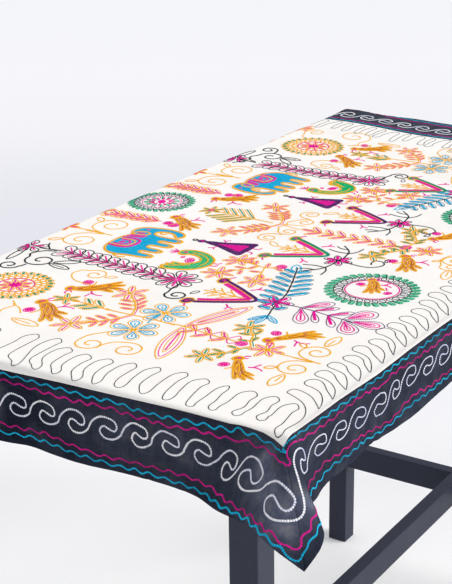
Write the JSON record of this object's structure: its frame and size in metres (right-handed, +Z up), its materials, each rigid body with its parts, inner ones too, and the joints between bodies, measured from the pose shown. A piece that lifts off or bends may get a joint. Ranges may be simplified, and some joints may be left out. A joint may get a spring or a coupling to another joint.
{
  "type": "embroidered tapestry cloth on a table",
  "caption": "Off-white embroidered tapestry cloth with a dark scrolled border, draped askew over a plain dark square-tube table.",
  "frame": {"origin": "middle of the whole object's bounding box, on the floor under the table", "axes": "+X along the table from the near end, where the cloth hangs over, to the far end, +Y from the side with the short drop to the side with the deep drop, +Z up"},
  "size_m": [1.481, 0.8776, 0.9049],
  "materials": {
    "cloth_field": "matte off-white cotton with many-coloured chain stitch",
    "cloth_border": "matte charcoal cotton with chain stitch",
    "board": "dark grey painted board",
    "frame_paint": "satin dark slate grey"
  },
  "bodies": {
    "root": {"field": "cloth_field", "border_near": "cloth_border", "border_right": "cloth_border", "border_far": "cloth_border", "border_left": "cloth_border", "tabletop": "board", "leg_near_right": "frame_paint", "leg_near_left": "frame_paint", "leg_far_right": "frame_paint", "leg_far_left": "frame_paint", "bar_near": "frame_paint", "bar_far": "frame_paint", "bar_long": "frame_paint", "rail_near": "frame_paint", "rail_far": "frame_paint", "rail_right": "frame_paint", "rail_left": "frame_paint"}
  },
  "joints": []
}
